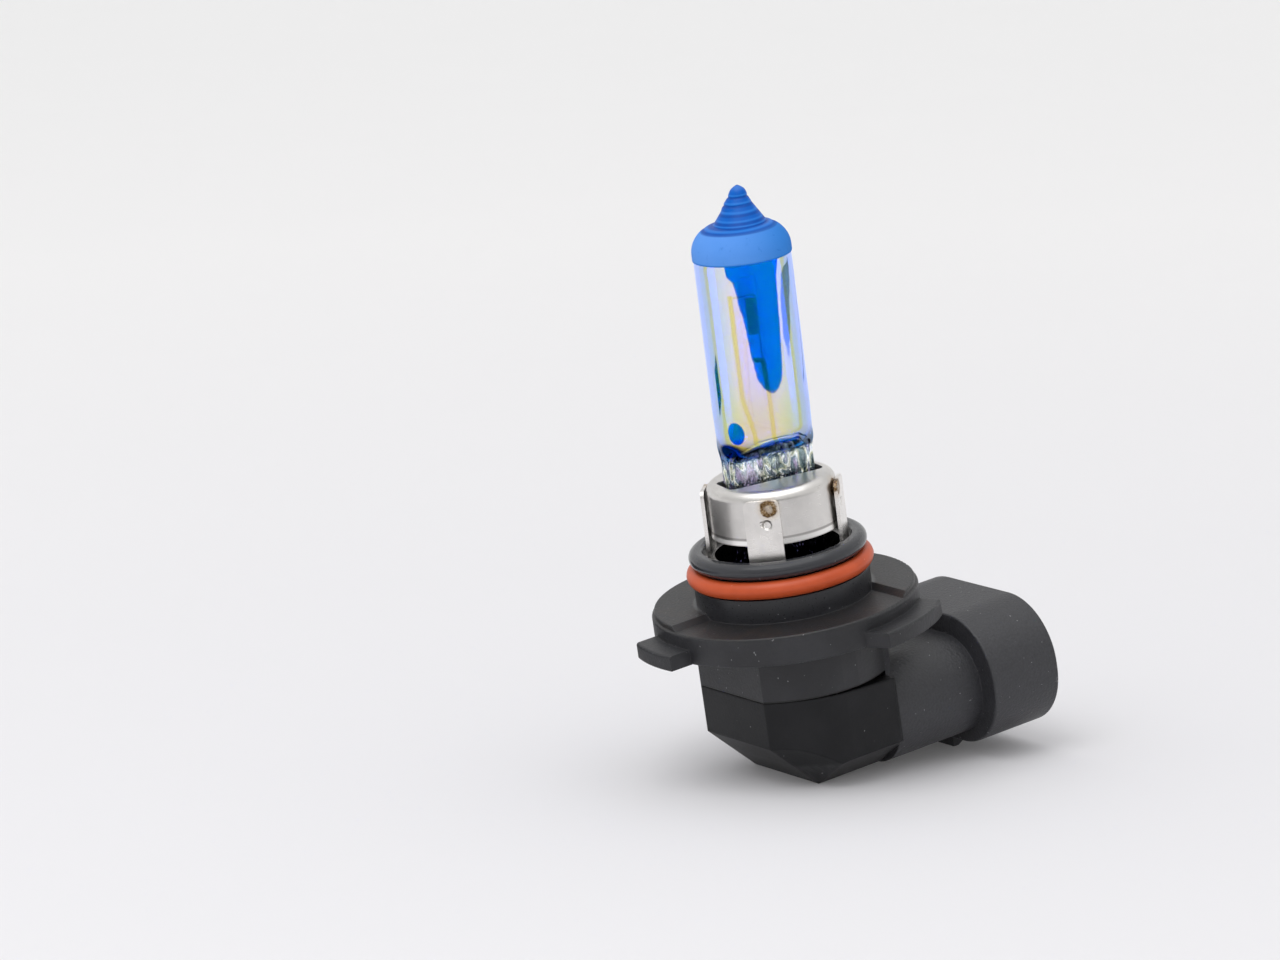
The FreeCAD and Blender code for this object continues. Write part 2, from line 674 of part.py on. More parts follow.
# ---- filament and conductors -------------------------------------------------------------------
def make_filament():
    """Axial coil with a leg at each end."""
    height = COIL_Z1 - COIL_Z0
    pitch = height / COIL_TURNS
    helix = Part.makeHelix(pitch, height, COIL_R)
    along = V(0, COIL_R, pitch / (2 * math.pi))
    circle = Part.Wire(Part.makeCircle(COIL_WIRE / 2, V(COIL_R, 0, 0), along))
    filament = Part.Wire(helix.Edges).makePipeShell([circle], True, True)
    filament.translate(V(COIL_OFF, 0, COIL_Z0))
    x = COIL_OFF + COIL_R
    y = COIL_WIRE / 2
    top = COIL_Z1 + COIL_LEG_RISE
    low = COIL_Z0 - COIL_LEG_RISE
    top_path = [V(x, -0.02, COIL_Z1), V(x, y, top), V(-SUPPORT_OFF, 0, top)]
    low_path = [V(x, 0.02, COIL_Z0), V(x, -y, low), V(x, 0, SHORT_TOP_Z)]
    for path in (top_path, low_path):
        end = Part.makeSphere(COIL_WIRE / 2, path[0])
        filament = filament.fuse(wire_through(path, COIL_WIRE)).fuse(end)
    return filament


def long_support():
    """Runs up beside the coil and holds its far end."""
    x = -LEAD_OFF
    path = [
        V(x, 0, FOIL_Z1 - WIRE_IN_FOIL),
        V(x, 0, LONG_BEND_Z[0]),
        V(-SUPPORT_OFF, 0, LONG_BEND_Z[1]),
        V(-SUPPORT_OFF, 0, COIL_Z1 + LONG_END_RISE),
    ]
    return wire_through(path, SUPPORT_D)


def short_support():
    """Holds the near end of the coil, with a small hook at its top."""
    hook_x = COIL_OFF + COIL_R
    path = [
        V(LEAD_OFF, 0, FOIL_Z1 - WIRE_IN_FOIL),
        V(LEAD_OFF, 0, SHORT_BEND_Z),
        V(hook_x, 0, SHORT_TOP_Z),
        V(hook_x - HOOK_L, 0, SHORT_TOP_Z + HOOK_RISE),
    ]
    return wire_through(path, SUPPORT_D)


def foil(side):
    x = side * FOIL_X
    return box(x - FOIL_W / 2, x + FOIL_W / 2, -FOIL_T / 2, FOIL_T / 2, FOIL_Z0, FOIL_Z1)


def unaimed_point(point):
    """Where a point of the cap's frame lies in the capsule's own frame."""
    upright = FreeCAD.Rotation(Y_AXIS, -CAPSULE_LEAN).multVec(point)
    return FreeCAD.Rotation(Z_AXIS, -PINCH_AZ).multVec(upright)


def outer_lead(side):
    """From the foil down through the cap's floor, then across to the back of its terminal."""
    weld_x = terminal_back(side) + BLADE_T + OUTER_D / 2
    weld_y = -side * BLADE_Y
    path = [
        V(side * FOIL_X, 0, FOIL_Z0 + WIRE_IN_FOIL),
        V(side * FOIL_X, 0, LEAD_BEND_Z[0]),
        unaimed_point(V(weld_x, weld_y, LEAD_BEND_Z[1])),
        unaimed_point(V(weld_x, weld_y, BLADE_Z + BLADE_T / 2 + LEAD_END_GAP)),
    ]
    return wire_through(path, OUTER_D)


# ---- terminals ---------------------------------------------------------------------------------
def terminal_back(side):
    return BACK_NEAR if side > 0 else BACK_FAR


def make_terminal(side):
    """Flat blade with a tapered tip and an upturned tab behind it. side is the lead it serves."""
    y = -side * BLADE_Y
    back = terminal_back(side)
    w = BLADE_W / 2
    t = BLADE_T / 2
    tip_w = w - BLADE_TIP * 0.6
    corners = [
        V(back, y - w, 0),
        V(BLADE_X1 - BLADE_TIP, y - w, 0),
        V(BLADE_X1, y - tip_w, 0),
        V(BLADE_X1, y + tip_w, 0),
        V(BLADE_X1 - BLADE_TIP, y + w, 0),
        V(back, y + w, 0),
    ]
    blade = Part.Face(Part.makePolygon(corners + corners[:1])).extrude(V(0, 0, BLADE_T))
    blade.translate(V(0, 0, BLADE_Z - t))
    ends = [e for e in blade.Edges if e.BoundBox.XMin > BLADE_X1 - 0.01 and e.BoundBox.YLength > 0.1]
    blade = blade.makeChamfer(BLADE_T * 0.3, ends)
    tab_up = box(back, back + BLADE_T, y - w, y + w, BLADE_Z - t, BLADE_Z + BLADE_TAB_UP)
    stop_w = w + BLADE_STOP
    stop = box(REAR_ROOM_X1 - 1, REAR_ROOM_X1 + 1, y - stop_w, y + stop_w, BLADE_Z - t, BLADE_Z + t)
    return blade.fuse(tab_up).fuse(stop).removeSplitter()


def make_potting():
    """Sealing compound round both terminals, behind the socket's floor."""
    block = tube_room(REAR_ROOM_WALL, REAR_ROOM_X1 - POTTING_T, REAR_ROOM_X1)
    for side in (-1, 1):
        block = block.cut(make_terminal(side))
    return block


def main():
    os.makedirs("parts", exist_ok=True)
    supports = {"long_support_wire": long_support(), "short_support_wire": short_support()}
    leads = {"outer_lead_near": outer_lead(1), "outer_lead_far": outer_lead(-1)}
    wires = list(supports.values()) + list(leads.values())
    foils = {}
    for side, name in ((1, "sealing_foil_near"), (-1, "sealing_foil_far")):
        sheet = foil(side)
        for wire in wires:
            sheet = sheet.cut(wire)
        foils[name] = sheet
    filament = make_filament()
    for wire in supports.values():
        filament = filament.cut(wire)
    capsule = {"filament": filament, "dome_coating": make_dome_coating()}
    capsule["glass_envelope"] = make_glass(wires + list(foils.values()))
    capsule.update(supports)
    capsule.update(leads)
    capsule.update(foils)
    for name, shape in capsule.items():
        save(aimed(shape), name)
    save(make_base_body(), "base_body")
    save(make_rear_cover(), "rear_cover")
    save(make_seal(), "o_ring_seal")
    save(make_tab_ring(), "tab_ring")
    save(make_cup(), "pinch_cup")
    save(make_pinch_clip(), "pinch_clip")
    save(make_terminal(1), "terminal_near")
    save(make_terminal(-1), "terminal_far")
    save(make_potting(), "terminal_potting")


if __name__ == "__main__":
    main()
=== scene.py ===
"""Looks of the right-angle halogen headlight bulb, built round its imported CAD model.

Blender units are metres; MM turns millimetres into them. The frame is the CAD's own: +Z along the
bulb towards the glass tip, +X the way the plug socket opens, origin at the flange's front face.
"""

import math

import bmesh
import bpy
from mathutils import Matrix, Vector, noise


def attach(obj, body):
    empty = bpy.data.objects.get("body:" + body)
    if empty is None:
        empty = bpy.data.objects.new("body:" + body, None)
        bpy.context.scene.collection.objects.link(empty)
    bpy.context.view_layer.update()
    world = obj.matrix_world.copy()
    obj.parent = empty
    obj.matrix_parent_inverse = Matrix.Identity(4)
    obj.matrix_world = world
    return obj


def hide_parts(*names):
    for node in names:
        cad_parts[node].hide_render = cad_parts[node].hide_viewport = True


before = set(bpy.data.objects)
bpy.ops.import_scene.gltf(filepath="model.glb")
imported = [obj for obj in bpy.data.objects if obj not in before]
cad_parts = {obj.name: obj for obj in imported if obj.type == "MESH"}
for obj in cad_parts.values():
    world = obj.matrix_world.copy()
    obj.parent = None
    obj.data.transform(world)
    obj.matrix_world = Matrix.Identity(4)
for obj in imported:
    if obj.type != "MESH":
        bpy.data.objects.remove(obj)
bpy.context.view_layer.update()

MM = 0.001
BODY = "root"

# ---- the capsule's pose and size, as in the CAD --------------------------------------------------
PINCH_AZ = math.radians(-10.0)
CAPSULE_LEAN = math.radians(1.15)
AIM = Matrix.Rotation(CAPSULE_LEAN, 4, "Y") @ Matrix.Rotation(PINCH_AZ, 4, "Z")
GLASS_R = 5.35
GLASS_WALL = 1.35
SHOULDER_Z = 39.7
# (radius, height) points of the dome's and the exhaust tip's outline
SHOULDER = ((5.35, 39.6), (5.29, 40.1), (5.08, 40.7), (4.70, 41.3), (4.15, 41.84), (3.5, 42.22), (2.9, 42.40))
TIP_Z = 46.5
TIP_STEPS = (
    (2.30, 42.46), (1.90, 42.62), (1.78, 43.00), (1.72, 43.55), (1.63, 44.1), (1.45, 44.6),
    (1.17, 45.05), (0.96, 45.45), (0.82, 45.83), (0.63, 46.15), (0.36, 46.38),
)
TIP_BEND_Z = 42.6
TIP_BEND = (0.31, -0.2, 0.0)
COAT_Z = 38.8
COAT_T = 0.12
PRESS_TOP = 20.2
PRESS_SQUARENESS = 3.4
BORE_FOOT_Z = 16.9
PRESS_FLAT_Z = 16.1
PRESS_NARROW_Z = 16.8
PINCH_Z0 = 3.6
BODY_FOOT_Z = -8.8
PINCH_HALF_W = 5.3
PINCH_HALF_T = 1.45

# ---- marks on the surfaces, in mm ----------------------------------------------------------------
# height, depth and width of each ring drawn into the dome's coat, where its colour also carries painted shade
# and a painted highlight
DOME_RINGS = (
    (42.00, 0.09, 0.12),
    (42.40, 0.05, 0.08),
    (42.80, 0.08, 0.12),
    (43.60, 0.09, 0.14),
    (44.50, 0.11, 0.14),
    (45.35, 0.08, 0.12),
)
# a painted dark reflection in the coat's mirror, where the blue shows through, and painted shade under it,
# low on the tube's left
DARK_REFLECTION_SPOT = (-4.63, -1.83, 20.2)
NAVY_PATCH = (-4.9, -0.6, 18.1)
# a tab's weld and the dimple under it, in the quarter where x and y are positive
WELD_SPOT = (4.55, 5.95, 12.3)
TAB_DIMPLE = (4.85, 5.7, 10.5)

# ---- camera --------------------------------------------------------------------------------------
VIEW_AZIMUTH = -32.957
VIEW_ELEVATION = 15.597
VIEW_ROLL = -8.464
VIEW_DISTANCE = 608.4
VIEW_AIM = (-9.455, 10.93, 14.446)
LENS_MM = 155.3

# ---- the surface it lies on ----------------------------------------------------------------------
FLOOR_POINT = (-3.05, 0.0, -19.9)
FLOOR_TILT = math.radians(7.9)


# ---- small helpers -------------------------------------------------------------------------------
def link(obj):
    bpy.context.scene.collection.objects.link(obj)
    return obj


def mesh_piece(name, bm, smooth_angle=35.0):
    """A mesh object from a bmesh in mm, smooth except across sharp edges."""
    mesh = bpy.data.meshes.new(name)
    bmesh.ops.scale(bm, vec=(MM, MM, MM), verts=bm.verts)
    bm.to_mesh(mesh)
    bm.free()
    mesh.shade_smooth()
    mesh.set_sharp_from_angle(angle=math.radians(smooth_angle))
    return link(bpy.data.objects.new(name, mesh))


def finish_piece(obj, material, slot, *replaced):
    obj.data.materials.clear()
    obj.data.materials.append(material)
    if replaced:
        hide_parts(*replaced)
    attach(obj, BODY)
    return obj


def dress(node, material):
    """Gives a CAD node its material."""
    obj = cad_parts[node]
    obj.data.materials.clear()
    obj.data.materials.append(material)
    return obj


def stack(bm, rings, close_start=False, close_end=False):
    """Joins rings of points, each with the same count, into a skin. Returns the rings' vertices."""
    made = [[bm.verts.new(p) for p in ring] for ring in rings]
    count = len(made[0])
    for low, high in zip(made, made[1:]):
        for i in range(count):
            j = (i + 1) % count
            bm.faces.new((low[i], low[j], high[j], high[i]))
    if close_start:
        bm.faces.new(list(reversed(made[0])))
    if close_end:
        bm.faces.new(made[-1])
    return made


def ring_at(radius, z, count):
    step = 2 * math.pi / count
    return [Vector((radius * math.cos(i * step), radius * math.sin(i * step), z)) for i in range(count)]


def arc_points(a, middle, b, count):
    """Points along the circle through three (r, z) points, from a to b."""
    (ax, az), (mx, mz), (bx, bz) = a, middle, b
    d = 2 * (ax * (mz - bz) + mx * (bz - az) + bx * (az - mz))
    ux = ((ax**2 + az**2) * (mz - bz) + (mx**2 + mz**2) * (bz - az) + (bx**2 + bz**2) * (az - mz)) / d
    uz = ((ax**2 + az**2) * (bx - mx) + (mx**2 + mz**2) * (ax - bx) + (bx**2 + bz**2) * (mx - ax)) / d
    radius = math.hypot(ax - ux, az - uz)
    start = math.atan2(az - uz, ax - ux)
    turn = math.atan2(bz - uz, bx - ux) - start
    half = math.atan2(mz - uz, mx - ux) - start
    turn = (turn + math.pi) % (2 * math.pi) - math.pi
    half = (half + math.pi) % (2 * math.pi) - math.pi
    if half * turn < 0:
        turn -= math.copysign(2 * math.pi, turn)
    points = []
    for i in range(count + 1):
        angle = start + turn * i / count
        points.append((ux + radius * math.cos(angle), uz + radius * math.sin(angle)))
    return points


# ---- materials -----------------------------------------------------------------------------------
class Shade:
    """A node tree under construction, with one method for each node that the materials use."""

    def __init__(self, name):
        self.material = bpy.data.materials.new(name)
        self.material.use_nodes = True
        self.tree = self.material.node_tree
        self.tree.nodes.clear()
        self.output = self.tree.nodes.new("ShaderNodeOutputMaterial")
        self.place = self.node("ShaderNodeTexCoord").outputs["Object"]

    def node(self, kind, **settings):
        made = self.tree.nodes.new(kind)
        for key, value in settings.items():
            setattr(made, key, value)
        return made

    def feed(self, socket, value):
        if isinstance(value, bpy.types.NodeSocket):
            self.tree.links.new(value, socket)
        elif value is not None:
            socket.default_value = value

    def noise(self, scale, detail=3.0, rough=0.55, distortion=0.0, at=None):
        made = self.node("ShaderNodeTexNoise")
        self.feed(made.inputs["Vector"], at or self.place)
        made.inputs["Scale"].default_value = scale
        made.inputs["Detail"].default_value = detail
        made.inputs["Roughness"].default_value = rough
        made.inputs["Distortion"].default_value = distortion
        return made.outputs["Fac"]

    def cells(self, scale, at=None):
        made = self.node("ShaderNodeTexVoronoi", feature="F1")
        self.feed(made.inputs["Vector"], at or self.place)
        made.inputs["Scale"].default_value = scale
        return made.outputs["Distance"]

    def stretched(self, scale, turn=(0.0, 0.0, 0.0)):
        made = self.node("ShaderNodeMapping")
        self.feed(made.inputs["Vector"], self.place)
        made.inputs["Scale"].default_value = scale
        made.inputs["Rotation"].default_value = turn
        return made.outputs["Vector"]

    def split(self):
        """The place on the object, as X, Y and Z."""
        made = self.node("ShaderNodeSeparateXYZ")
        self.feed(made.inputs[0], self.place)
        return made.outputs["X"], made.outputs["Y"], made.outputs["Z"]

    def math(self, operation, a, b=None, c=None):
        made = self.node("ShaderNodeMath", operation=operation)
        for socket, value in zip(made.inputs, (a, b, c)):
            self.feed(socket, value)
        return made.outputs[0]

    def span(self, value, low, high, to_low=0.0, to_high=1.0):
        """A smooth step from to_low at low to to_high at high; low may be the larger of the two."""
        made = self.node("ShaderNodeMapRange")
        made.interpolation_type = "SMOOTHSTEP"
        self.feed(made.inputs["Value"], value)
        made.inputs["From Min"].default_value = low
        made.inputs["From Max"].default_value = high
        made.inputs["To Min"].default_value = to_low
        made.inputs["To Max"].default_value = to_high
        return made.outputs["Result"]

    def ramp(self, value, *stops):
        made = self.node("ShaderNodeValToRGB")
        self.feed(made.inputs["Fac"], value)
        elements = made.color_ramp.elements
        while len(elements) < len(stops):
            elements.new(0.5)
        for element, (position, colour) in zip(elements, stops):
            element.position = position
            element.color = (*colour, 1.0)
        return made.outputs["Color"]

    def mix(self, share, a, b):
        made = self.node("ShaderNodeMix", data_type="RGBA")
        self.feed(made.inputs["Factor"], share)
        self.feed(made.inputs["A"], colour4(a))
        self.feed(made.inputs["B"], colour4(b))
        return made.outputs["Result"]

    def bump(self, height, strength, distance, under=None):
        made = self.node("ShaderNodeBump")
        self.feed(made.inputs["Height"], height)
        self.feed(made.inputs["Strength"], strength)
        made.inputs["Distance"].default_value = distance
        self.feed(made.inputs["Normal"], under)
        return made.outputs["Normal"]

    def principled(self, **inputs):
        made = self.node("ShaderNodeBsdfPrincipled")
        for key, value in inputs.items():
            self.feed(made.inputs[key.replace("_", " ")], colour4(value))
        return made.outputs[0]

    def out(self, shader):
        self.tree.links.new(shader, self.output.inputs["Surface"])
        return self.material


def colour4(value):
    return (*value, 1.0) if isinstance(value, tuple) and len(value) == 3 else value


def plastic(name, base, light, details, grain_scale, grain, rough, dust, level, edge_round):
    """Moulded charcoal plastic: spark-eroded grain, cloudy sheen and a little pale dust.

    details adds the marks of one piece. It returns the grain's share, or None for all of it, the
    colour and the roughness.
    """
    s = Shade(name)
    cloud = s.noise(160.0, 4.0)
    fine = s.noise(grain_scale, 3.0, 0.6)
    pits = s.cells(grain_scale * 0.7)
    speck = s.math("GREATER_THAN", s.noise(2600.0, 1.0, 0.4), dust)
    scuff = s.noise(900.0, 5.0, 0.7, 1.5, s.stretched((1.0, 1.0, 3.0)))
    scuff = s.span(scuff, 0.62, 0.8)
    colour = s.mix(s.span(cloud, 0.35, 0.7), base, light)
    roughness = s.math("MULTIPLY_ADD", fine, 0.18, rough - 0.09)
    grain_share, colour, roughness = details(s, colour, roughness, fine)
    colour = s.mix(s.math("MULTIPLY", scuff, 0.35), colour, tuple(min(1.0, c * 2.4) for c in light))
    colour = s.mix(s.math("MULTIPLY", speck, 0.5), colour, (0.35, 0.35, 0.36))
    roughness = s.math("ADD", roughness, s.math("MULTIPLY", scuff, 0.1))
    height = s.math("ADD", fine, s.math("MULTIPLY", pits, 0.6))
    rounded = s.node("ShaderNodeBevel", samples=6)
    rounded.inputs["Radius"].default_value = edge_round * MM
    depth = grain if grain_share is None else s.math("MULTIPLY", grain_share, grain)
    normal = s.bump(height, depth, 0.045 * MM, rounded.outputs["Normal"])
    normal = s.bump(cloud, 0.12, 0.12 * MM, normal)
    return s.out(s.principled(
        Base_Color=colour, Roughness=roughness, Normal=normal, Specular_IOR_Level=level
    ))


def radius_of(s):
    x, y, _ = s.split()
    return s.math("SQRT", s.math("ADD", s.math("MULTIPLY", x, x), s.math("MULTIPLY", y, y)))


# radius from which, and up to which, the collar's finish gives way to the flange's
COLLAR_EDGE = (9.95 * MM, 10.3 * MM)


def cap_details(s, colour, roughness, fine):
    """Smooth collar and lip, grainy tube and shroud, painted shade and grime on the flange's face, dark joint
    lines.
    """
    x, y, z = s.split()
    r = radius_of(s)
    collar = s.math("MULTIPLY", s.span(r, COLLAR_EDGE[1], COLLAR_EDGE[0]), s.span(z, 0.0, 0.3 * MM))
    lip = s.math("MULTIPLY", collar, s.span(z, 4.5 * MM, 5.2 * MM))
    colour = s.mix(collar, colour, (0.019, 0.0195, 0.023))
    colour = s.mix(lip, colour, (0.034, 0.0355, 0.041))
    roughness = s.math("MULTIPLY_ADD", collar, -0.16, roughness)
    roughness = s.math("MULTIPLY_ADD", lip, -0.12, roughness)
    arm = s.span(x, 5.7 * MM, 6.3 * MM)
    arm = s.math("MULTIPLY", arm, s.span(z, -3.3 * MM, -3.5 * MM))
    colour = s.mix(arm, colour, s.mix(fine, (0.017, 0.0172, 0.020), (0.048, 0.0485, 0.055)))
    face = s.math("MULTIPLY", s.span(z, -0.3 * MM, 0.0), s.span(r, 9.9 * MM, COLLAR_EDGE[1]))
    grime = s.span(s.noise(330.0, 5.0, 0.65, 1.0), 0.48, 0.68)
    # painted shade: the flange's face is darkened by half all over; the warm cloud on top of it is grime
    colour = s.mix(s.math("MULTIPLY", face, 0.5), colour, (0.010, 0.010, 0.011))
    colour = s.mix(s.math("MULTIPLY", face, s.math("MULTIPLY", grime, 0.7)), colour, (0.024, 0.019, 0.016))
    joint = s.span(z, (BODY_FOOT_Z + 0.22) * MM, (BODY_FOOT_Z + 0.12) * MM)
    joint = s.math("MULTIPLY", joint, s.span(x, 5.6 * MM, 5.4 * MM))
    colour = s.mix(s.math("MULTIPLY", joint, 0.8), colour, (0.002, 0.002, 0.002))
    parting = s.math("ABSOLUTE", s.math("ADD", y, 0.4 * MM))
    parting = s.math("MULTIPLY", s.span(parting, 0.09 * MM, 0.03 * MM), s.span(x, 5.9 * MM, 6.1 * MM))
    colour = s.mix(s.math("MULTIPLY", parting, 0.6), colour, (0.05, 0.05, 0.055))
    share = s.math("MULTIPLY_ADD", arm, 0.7, s.math("MULTIPLY_ADD", collar, -0.55, 0.6))
    return share, colour, roughness


def cover_details(s, colour, roughness, fine):
    """Paler chamfers and a dark line along the joint with the body."""
    _, _, z = s.split()
    joint = s.span(z, (BODY_FOOT_Z - 0.16) * MM, (BODY_FOOT_Z - 0.05) * MM)
    colour = s.mix(joint, colour, (0.002, 0.002, 0.002))
    chamfer = s.span(z, -16.6 * MM, -17.2 * MM)
    smear = s.noise(700.0, 4.0, 0.6, 0.8, s.stretched((1.0, 3.0, 0.7)))
    pale = s.mix(s.span(smear, 0.4, 0.7), (0.020, 0.020, 0.022), (0.042, 0.042, 0.045))
    colour = s.mix(s.math("MULTIPLY", chamfer, 0.8), colour, pale)
    return None, colour, roughness


def seal_rubber():
    s = Shade("seal_rubber")
    cloud = s.noise(260.0, 3.0)
    fine = s.noise(5200.0, 3.0)
    speck = s.math("GREATER_THAN", s.noise(2100.0, 1.0), 0.79)
    colour = s.mix(s.span(cloud, 0.3, 0.7), (0.50, 0.074, 0.020), (0.58, 0.092, 0.027))
    colour = s.mix(s.math("MULTIPLY", speck, 0.35), colour, (0.75, 0.45, 0.35))
    rough = s.math("MULTIPLY_ADD", fine, 0.2, 0.3)
    normal = s.bump(fine, 0.18, 0.02 * MM)
    return s.out(s.principled(
        Base_Color=colour, Roughness=rough, Normal=normal, Specular_IOR_Level=0.3
    ))


def capsule_height(s):
    """Height along the leaning capsule's own axis."""
    x, _, z = s.split()
    return s.math("MULTIPLY_ADD", x, math.sin(CAPSULE_LEAN), z)


def steel(name, tint, rough, streak_scale, rolled=False):
    """Nickel-plated sheet with fine drawing marks, faint tarnish and burnt spot welds at the tabs.

    Rolled is the cup, with a painted highlight on its rim under a painted dark line. Unrolled sheet has
    painted shade low in the collar.
    """
    s = Shade(name)
    streak = s.noise(streak_scale, 4.0, 0.6, 0.0, s.stretched((1.0, 1.0, 14.0)))
    cloud = s.noise(240.0, 4.0)
    grain = s.noise(6500.0, 2.0)
    colour = s.mix(s.span(cloud, 0.3, 0.75), tint, tuple(c * 0.82 for c in tint))
    roughness = s.math("MULTIPLY_ADD", streak, 0.14, rough - 0.05)
    roughness = s.math("ADD", roughness, s.math("MULTIPLY", cloud, 0.06))
    if rolled:
        height = capsule_height(s)
        # painted highlight: rim is a bright band on the cup's rolled rim; groove is a painted dark line of
        # shade just above it
        rim = s.math("MULTIPLY", s.span(height, 8.55 * MM, 8.4 * MM), s.span(height, 8.0 * MM, 8.1 * MM))
        groove = s.math("MULTIPLY", s.span(height, 8.85 * MM, 8.75 * MM), s.span(height, 8.5 * MM, 8.6 * MM))
        colour = s.mix(rim, colour, (0.95, 0.94, 0.92))
        colour = s.mix(s.math("MULTIPLY", groove, 0.6), colour, (0.2, 0.19, 0.18))
    else:
        _, _, z = s.split()
        # painted shade: the sheet darkens low in the collar, standing for the dark collar that it mirrors
        colour = s.mix(s.span(z, 6.1 * MM, 5.6 * MM), colour, (0.16, 0.155, 0.15))
    normal = s.bump(streak, 0.16, 0.02 * MM)
    normal = s.bump(grain, 0.08, 0.01 * MM, normal)
    folded = s.node("ShaderNodeVectorMath", operation="ABSOLUTE")
    s.feed(folded.inputs[0], s.place)
    ragged = s.math("MULTIPLY_ADD", s.noise(1500.0, 4.0, 0.7), 0.7 * MM, -0.35 * MM)
    burn = s.math("ADD", distance_to(s, folded.outputs["Vector"], WELD_SPOT), ragged)
    halo = s.span(burn, 1.7 * MM, 0.7 * MM)
    mottle = s.noise(2600.0, 5.0, 0.75, 1.5)
    scorch = s.ramp(
        mottle,
        (0.36, (0.02, 0.012, 0.008)),
        (0.46, (0.13, 0.07, 0.03)),
        (0.56, (0.34, 0.22, 0.11)),
        (0.66, (0.66, 0.56, 0.42)),
    )
    colour = s.mix(s.math("MULTIPLY", halo, 0.35), colour, (0.55, 0.36, 0.16))
    middle = s.span(burn, 0.25 * MM, 0.6 * MM, 0.35, 1.0)
    ring = s.math("MULTIPLY", s.span(burn, 1.05 * MM, 0.85 * MM), middle)
    colour = s.mix(ring, colour, scorch)
    dent = s.span(distance_to(s, folded.outputs["Vector"], TAB_DIMPLE), 0.35 * MM, 0.62 * MM)
    normal = s.bump(dent, 1.0, 0.25 * MM, normal)
    normal = s.bump(s.math("MULTIPLY", mottle, s.span(burn, 1.1 * MM, 0.7 * MM)), 0.8, 0.15 * MM, normal)
    return s.out(s.principled(Base_Color=colour, Metallic=1.0, Roughness=roughness, Normal=normal))


def oval_distance(s, point, stretch):
    """Distance from a point, in mm, measured with each axis stretched."""
    away = s.node("ShaderNodeVectorMath", operation="SUBTRACT")
    s.feed(away.inputs[0], s.place)
    away.inputs[1].default_value = tuple(c * MM for c in point)
    scaled = s.node("ShaderNodeVectorMath", operation="MULTIPLY")
    s.feed(scaled.inputs[0], away.outputs["Vector"])
    scaled.inputs[1].default_value = stretch
    length = s.node("ShaderNodeVectorMath", operation="LENGTH")
    s.feed(length.inputs[0], scaled.outputs["Vector"])
    return length.outputs["Value"]


def distance_to(s, place, point):
    """Distance of a place in the node tree from a point given in mm."""
    apart = s.node("ShaderNodeVectorMath", operation="DISTANCE")
    s.feed(apart.inputs[0], place)
    apart.inputs[1].default_value = tuple(c * MM for c in point)
    return apart.outputs["Value"]


def tungsten():
    s = Shade("tungsten")
    grain = s.noise(9000.0, 3.0)
    colour = s.mix(grain, (0.09, 0.056, 0.44), (0.16, 0.10, 0.60))
    normal = s.bump(grain, 0.3, 0.01 * MM)
    return s.out(s.principled(Base_Color=colour, Metallic=0.9, Roughness=0.45, Normal=normal))


def molybdenum(name, tint):
    s = Shade(name)
    draw = s.noise(4000.0, 3.0, 0.6, 0.0, s.stretched((4.0, 4.0, 0.5)))
    colour = s.mix(draw, tint, tuple(c * 0.6 for c in tint))
    normal = s.bump(draw, 0.2, 0.01 * MM)
    return s.out(s.principled(Base_Color=colour, Metallic=1.0, Roughness=0.38, Normal=normal))


def dome_paint():
    """Blue ceramic coat: matt and paler on the shoulder, glossier and deeper towards the tip."""
    s = Shade("dome_blue")
    x, _, z = s.split()
    deep_share = s.span(z, 41.85 * MM, 42.15 * MM)
    cloud = s.noise(420.0, 4.0)
    fine = s.noise(4200.0, 4.0, 0.65)
    blotch = s.span(s.noise(1300.0, 3.0, 0.5, 0.8), 0.62, 0.75)
    # painted light and shade: across makes the shoulder's coat paler on its -X side, toward the key light,
    # and deeper on +X
    across = s.span(x, -5.0 * MM, 6.0 * MM)
    pale = s.mix(across, (0.115, 0.325, 0.84), (0.008, 0.185, 0.62))
    pale = s.mix(s.math("MULTIPLY", cloud, 0.4), pale, (0.06, 0.26, 0.76))
    deep = s.mix(cloud, (0.0, 0.085, 0.46), (0.0, 0.145, 0.62))
    colour = s.mix(deep_share, pale, deep)
    height = capsule_height(s)
    # painted shade in each ring's groove, and a painted highlight on the crest just above it
    for ring_z, _, width in DOME_RINGS:
        off = s.math("ABSOLUTE", s.math("SUBTRACT", height, ring_z * MM))
        groove = s.span(off, 1.5 * width * MM, 0.4 * width * MM, 0.0, 0.55)
        colour = s.mix(groove, colour, (0.0, 0.045, 0.30))
        off = s.math("ABSOLUTE", s.math("SUBTRACT", height, (ring_z + 2.2 * width) * MM))
        crest_highlight = s.span(off, 1.3 * width * MM, 0.2 * width * MM, 0.0, 0.4)
        colour = s.mix(crest_highlight, colour, (0.04, 0.28, 0.82))
    colour = s.mix(s.span(z, 45.9 * MM, 46.5 * MM, 0.0, 0.35), colour, (0.12, 0.30, 0.75))
    colour = s.mix(s.math("MULTIPLY", blotch, 0.3), colour, (0.01, 0.13, 0.55))
    lower_edge = s.span(height, (COAT_Z + 0.05) * MM, (COAT_Z + 0.3) * MM)
    colour = s.mix(lower_edge, (0.005, 0.16, 0.62), colour)
    rough = s.span(z, 41.8 * MM, 42.3 * MM, 0.7, 0.36)
    rough = s.math("ADD", rough, s.math("MULTIPLY", fine, 0.08))
    normal = s.bump(fine, 0.2, 0.02 * MM)
    return s.out(s.principled(
        Base_Color=colour, Roughness=rough, Normal=normal, Specular_IOR_Level=0.13
    ))


